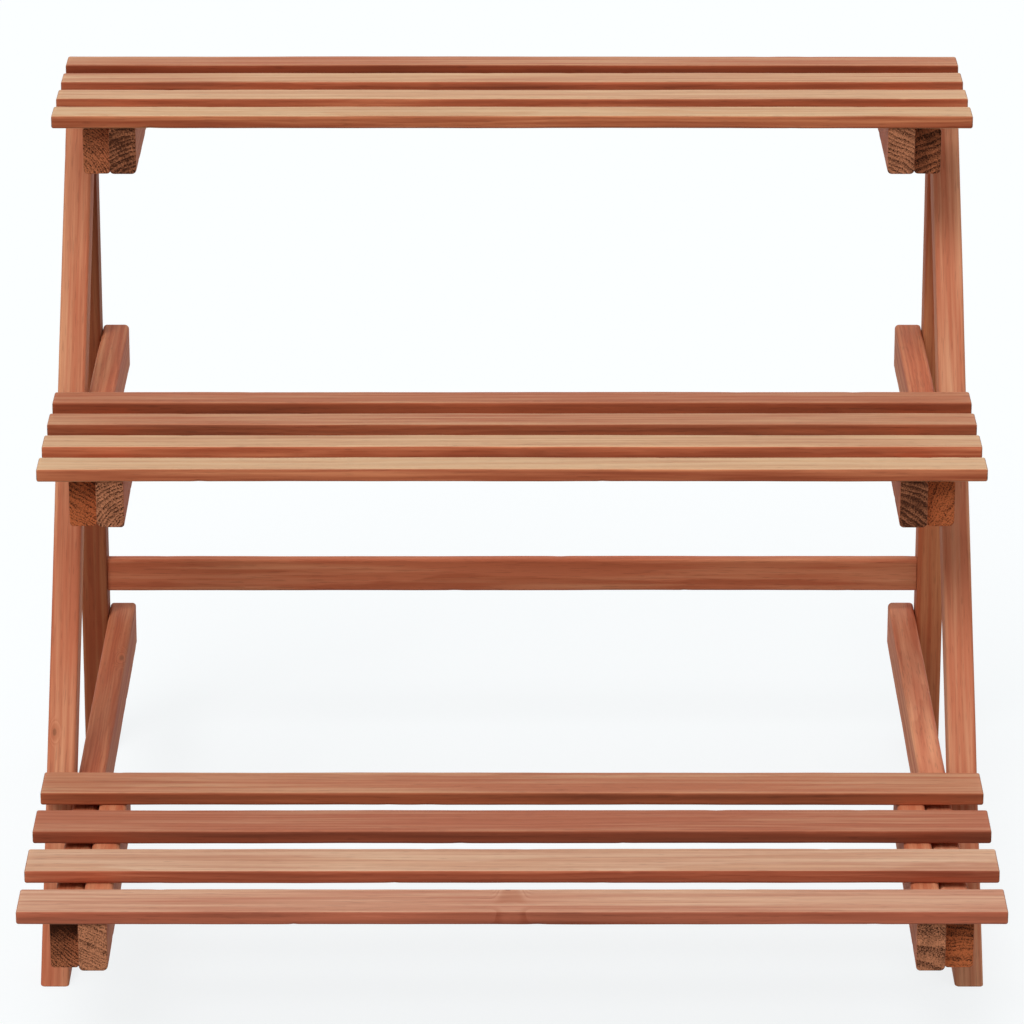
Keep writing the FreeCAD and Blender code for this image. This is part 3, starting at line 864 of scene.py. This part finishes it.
def looks_of(node, kind, draw):
    """What sets one board's timber apart: listed values, or else a drawn heart and ring width."""
    away, angle = draw.uniform(*HEART_DISTANCES), draw.uniform(0, 2 * math.pi)
    drawn_heart = (away * math.cos(angle), away * math.sin(angle))
    drawn = (drawn_heart, draw.uniform(*RING_WIDTHS), *USUAL_END)
    heart, ring, dark, rust, painted_shade = SAWN_ENDS.get(node, drawn)
    tint, edge_share, streaks, figures = KIND_LOOKS[kind]
    return {
        "tone": TONES.get(node, FRAME_TONE),
        "tint": (*TINTS_AND_SHADE.get(node, tint), 1),
        "edge_share": edge_share,
        "edge_tint_and_shade": (*EDGE_TINTS_AND_SHADE.get(node, EDGE_TINT), 1),
        "heart": heart,
        "ring": ring,
        "dark": dark,
        "rust": rust,
        "painted_shade": painted_shade,
        "streaks": streaks,
        "figure": draw.uniform(*figures),
        "knot": KNOTS.get(node, NO_KNOT),
    }


def make_board(node, kind, axes, centre, length, half_width, half_height, holes=(), cuts=()):
    """One board: its surface set at its centre along its axes, drilled, and its own cedar."""
    seed = sorted(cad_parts).index(node) + 1
    half_height -= JOINT_GAP[kind] * MM
    points, faces, arris = board_surface(
        length, half_width, half_height, EDGE_RADIUS[kind] * MM, END_BREAK[kind] * MM, seed, *cuts)
    points[:, 0] -= length / 2
    placed = points @ np.array([list(axis) for axis in axes]) + np.array(centre)
    mesh = make_mesh(f"{node}_wood", placed, faces)
    arris = arris.astype(np.float32)
    mesh.attributes.new("arris", "FLOAT", "POINT").data.foreach_set("value", arris)
    mesh = drilled(mesh, list(holes))
    looks = looks_of(node, kind, np.random.default_rng(seed + LOOKS_SEED))
    material = cedar(f"cedar_{node}", centre, axes, seed, looks)
    slot = "slat_wood" if kind in ("slat", "rail") else "frame_wood"
    make_piece(f"{node}_wood", mesh, material, slot, node)


def box_board(node, kind, axes, holes=()):
    """A square-cut board that fills its node's box."""
    low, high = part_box(node)
    size = high - low
    length, width, height = (abs(size.dot(axis)) for axis in axes)
    make_board(node, kind, axes, (low + high) / 2, length, width / 2, height / 2, holes)


def outward(side):
    """The direction out of the stand on one side."""
    return -X if side == "left" else X


def outer_face(node, side):
    """The X of a board's face that looks out of the stand."""
    low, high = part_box(node)
    return low.x if side == "left" else high.x


def middle_height(node):
    """The Z of a board's middle."""
    low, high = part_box(node)
    return (low.z + high.z) / 2


FRONT_LOW, FRONT_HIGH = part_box("left_front_leg")
REAR_LOW, REAR_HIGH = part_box("left_rear_leg")
RAIL_LOW, RAIL_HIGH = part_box("back_rail")
LEG_SLOPE = (FRONT_HIGH.y - FRONT_LOW.y) / FRONT_HIGH.z
LEAN = math.atan(LEG_SLOPE)
RAIL_PLACE = ((RAIL_LOW.y + RAIL_HIGH.y) / 2, (RAIL_LOW.z + RAIL_HIGH.z) / 2)
# The front leg's top screw: how far it lies before the rear leg and over the top arm's lower edge.
TIP_SETBACK = 8.5 * MM
TIP_RISE = 7 * MM
# How far an arm's two screws lie from its bearer's front and back ends, in millimetres.
BEARER_SCREW_INSETS = {"bottom": (25, 25), "middle": (25, 27), "top": (25, 47)}


def front_leg_place(tier):
    """Where the front leg's screw into an arm lies, as its Y and Z."""
    low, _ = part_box(f"left_{tier}_arm")
    height = middle_height(f"left_{tier}_arm")
    if tier == "top":
        return REAR_LOW.y - TIP_SETBACK, low.z + TIP_RISE
    return FRONT_LOW.y + height * LEG_SLOPE + LEG_DEPTH / math.cos(LEAN) / 2, height


def rear_leg_place(tier):
    """Where the rear leg's screw into an arm lies, as its Y and Z."""
    return (REAR_LOW.y + REAR_HIGH.y) / 2, middle_height(f"left_{tier}_arm")


def bearer_screw_places(tier, side):
    """Two screws through an arm's outer face into its bearer, clear of the legs."""
    low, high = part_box(f"{side}_{tier}_bearer")
    front, back = BEARER_SCREW_INSETS[tier]
    height = middle_height(f"{side}_{tier}_arm")
    x = outer_face(f"{side}_{tier}_arm", side)
    return [Vector((x, low.y + front * MM, height)), Vector((x, high.y - back * MM, height))]


def slat_screw_places(tier, side):
    """One screw under each slat, up through the bearer."""
    low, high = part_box(f"{side}_{tier}_bearer")
    places = []
    for number in range(1, SLATS_PER_TIER + 1):
        slat_low, slat_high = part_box(f"{tier}_slat_{number}")
        places.append(Vector(((low.x + high.x) / 2, (slat_low.y + slat_high.y) / 2, low.z)))
    return places


def build_shelf(tier):
    """A shelf's slats, and the bearer and arm on each side."""
    for number in range(1, SLATS_PER_TIER + 1):
        box_board(f"{tier}_slat_{number}", "slat", ALONG_X)
    for side in SIDES:
        out = outward(side)
        under = [countersunk_hole(p, -Z, BEARER_HOLE) for p in slat_screw_places(tier, side)]
        box_board(f"{side}_{tier}_bearer", "bearer", ALONG_Y, under)
        arm = f"{side}_{tier}_arm"
        x = outer_face(arm, side)
        holes = [countersunk_hole(p, out, THROUGH_HOLE) for p in bearer_screw_places(tier, side)]
        for y, z in (front_leg_place(tier), rear_leg_place(tier)):
            holes.append(plain_hole((x, y, z), out, LEG_SCREW - PILOT_SHORTFALL))
        box_board(arm, "arm", ALONG_Y, holes)


def build_legs(side):
    """One side's rear leg, and its front leg, cut level at the foot and upright at the top.

    A cut lies beyond the leg's square end by the depth from its front face times the lean's tangent
    at the foot, and short of it by that depth over the tangent at the top."""
    out = outward(side)
    rear = f"{side}_rear_leg"
    x = outer_face(rear, side)
    rear_places = [rear_leg_place(tier) for tier in TIERS] + [RAIL_PLACE]
    holes = [countersunk_hole((x, *place), out, THROUGH_HOLE) for place in rear_places]
    box_board(rear, "leg", ALONG_Z, holes)

    front = f"{side}_front_leg"
    low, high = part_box(front)
    sin, cos = math.sin(LEAN), math.cos(LEAN)
    axes = (Vector((0, sin, cos)), X, Vector((0, cos, -sin)))
    half_depth = LEG_DEPTH / 2
    front_edge = high.z / cos
    start = Vector(((low.x + high.x) / 2, low.y + half_depth * cos, -half_depth * sin))
    centre = start + axes[0] * front_edge / 2

    def foot_cut(across, back):
        return (half_depth + back) * sin / cos

    def tip_cut(across, back):
        return -(half_depth + back) * cos / sin

    holes = [countersunk_hole((x, *front_leg_place(tier)), out, THROUGH_HOLE) for tier in TIERS]
    half_width = (high.x - low.x) / 2
    cuts = (foot_cut, tip_cut)
    make_board(front, "leg", axes, centre, front_edge, half_width, half_depth, holes, cuts)


def build_rail():
    """The rail between the rear legs, with a pilot hole in each end."""
    ends = ((RAIL_LOW.x, -X), (RAIL_HIGH.x, X))
    holes = [plain_hole((x, *RAIL_PLACE), out, RAIL_SCREW - PILOT_SHORTFALL) for x, out in ends]
    box_board("back_rail", "rail", ALONG_X, holes)


def build_screws():
    """All the screws, as one piece for each size."""
    leg_places, rail_places, bearer_places, slat_places = [], [], [], []
    for side in SIDES:
        out = outward(side)
        x = outer_face(f"{side}_rear_leg", side)
        for tier in TIERS:
            for y, z in (front_leg_place(tier), rear_leg_place(tier)):
                leg_places.append(((x, y, z), out))
            bearer_places += [(p, out) for p in bearer_screw_places(tier, side)]
            slat_places += [(p, -Z) for p in slat_screw_places(tier, side)]
        rail_places.append(((x, *RAIL_PLACE), out))
    make_screws("leg_screw_set", LEG_SCREW, leg_places, "leg_screws")
    make_screws("rail_screw_set", RAIL_SCREW, rail_places, "rail_screws")
    make_screws("bearer_screw_set", BEARER_SCREW, bearer_places)
    make_screws("slat_screw_set", SLAT_SCREW, slat_places)


for tier_name in TIERS:
    build_shelf(tier_name)
for side_name in SIDES:
    build_legs(side_name)
build_rail()
build_screws()


# ---------------------------------------------------------------- studio

FLOOR_SIZE = 60
WHITE = (0.965, 0.99, 1.0, 1)
FLOOR_BOUNCE = (0.36, 0.36, 0.36, 1)
FLOOR_GLOW = 0.82
SKY_COLOUR = (1, 1, 1, 1)
SKY_LIGHT = 0.40

# Each light's side, 0 being the front, its height and its width in degrees, and its strength.
LIGHTS = {
    "key_light": (-18, 52, 35, 1.95),
    "left_light": (-80, 20, 60, 0.36),
    "right_light": (80, 20, 60, 0.20),
    "fill_light": (160, 42, 60, 0.50),
}

CAMERA_PLACE = (0, -2.6740, 1.1772)
CAMERA_TILT = 70.23
CAMERA_LENS = 194.4
SENSOR_WIDTH = 36


def white_rays(tree):
    """1 for the rays that should find a white studio: those of camera, of gloss and of glass."""
    path = add_node(tree, "ShaderNodeLightPath").outputs
    seen = maths(tree, "MAXIMUM", path["Is Camera Ray"], path["Is Glossy Ray"])
    return maths(tree, "MAXIMUM", seen, path["Is Transmission Ray"])


def studio_floor():
    """A white floor that bounces less light than it shows, and keeps the stand's shadow."""
    half = FLOOR_SIZE / 2
    corners = [(-half, -half, 0), (half, -half, 0), (half, half, 0), (-half, half, 0)]
    mesh = bpy.data.meshes.new("studio_floor")
    mesh.from_pydata(corners, [], [(0, 1, 2, 3)])
    floor = bpy.data.objects.new("studio_floor", mesh)
    bpy.context.scene.collection.objects.link(floor)
    material = bpy.data.materials.new("pale_floor")
    material.use_nodes = True
    tree = material.node_tree
    tree.nodes.clear()
    seen = white_rays(tree)
    colour = mixed(tree, seen, FLOOR_BOUNCE, WHITE)
    matte = add_node(tree, "ShaderNodeBsdfDiffuse", {"Color": colour}).outputs[0]
    glow = add_node(tree, "ShaderNodeEmission", {"Color": WHITE, "Strength": 1.0}).outputs[0]
    share = maths(tree, "MULTIPLY", seen, FLOOR_GLOW)
    both = add_node(tree, "ShaderNodeMixShader", {0: share, 1: matte, 2: glow})
    out = add_node(tree, "ShaderNodeOutputMaterial")
    tree.links.new(both.outputs[0], out.inputs["Surface"])
    mesh.materials.append(material)


def studio_sky():
    """A soft even sky: white where it is seen or mirrored, weaker as light."""
    world = bpy.data.worlds.new("studio_sky")
    bpy.context.scene.world = world
    world.use_nodes = True
    tree = world.node_tree
    tree.nodes.clear()
    inputs = {"Color": SKY_COLOUR, "Strength": SKY_LIGHT}
    light = add_node(tree, "ShaderNodeBackground", inputs).outputs[0]
    shown = add_node(tree, "ShaderNodeBackground", {"Color": WHITE, "Strength": 1.0}).outputs[0]
    both = add_node(tree, "ShaderNodeMixShader", {0: white_rays(tree), 1: light, 2: shown})
    out = add_node(tree, "ShaderNodeOutputWorld")
    tree.links.new(both.outputs[0], out.inputs["Surface"])


def soft_light(name, azimuth, elevation, softness, strength):
    """An even light from one side, 0 being the front, that is as wide as softness, in degrees."""
    light = bpy.data.lights.new(name, "SUN")
    light.angle, light.energy = math.radians(softness), strength
    lamp = bpy.data.objects.new(name, light)
    around, up = math.radians(azimuth), math.radians(elevation)
    level = math.cos(up)
    source = Vector((math.sin(around) * level, -math.cos(around) * level, math.sin(up)))
    lamp.rotation_euler = source.to_track_quat("Z", "Y").to_euler()
    bpy.context.scene.collection.objects.link(lamp)


def photo_camera():
    """A long lens straight in front of the stand, looking down."""
    camera = bpy.data.objects.new("photo_camera", bpy.data.cameras.new("photo_camera"))
    camera.location = CAMERA_PLACE
    camera.rotation_euler = (math.radians(CAMERA_TILT), 0, 0)
    camera.data.sensor_width = SENSOR_WIDTH
    camera.data.lens = CAMERA_LENS
    bpy.context.scene.collection.objects.link(camera)
    bpy.context.scene.camera = camera


studio_floor()
studio_sky()
for light_name, light_values in LIGHTS.items():
    soft_light(light_name, *light_values)
photo_camera()
bpy.context.scene.view_settings.view_transform = "Standard"
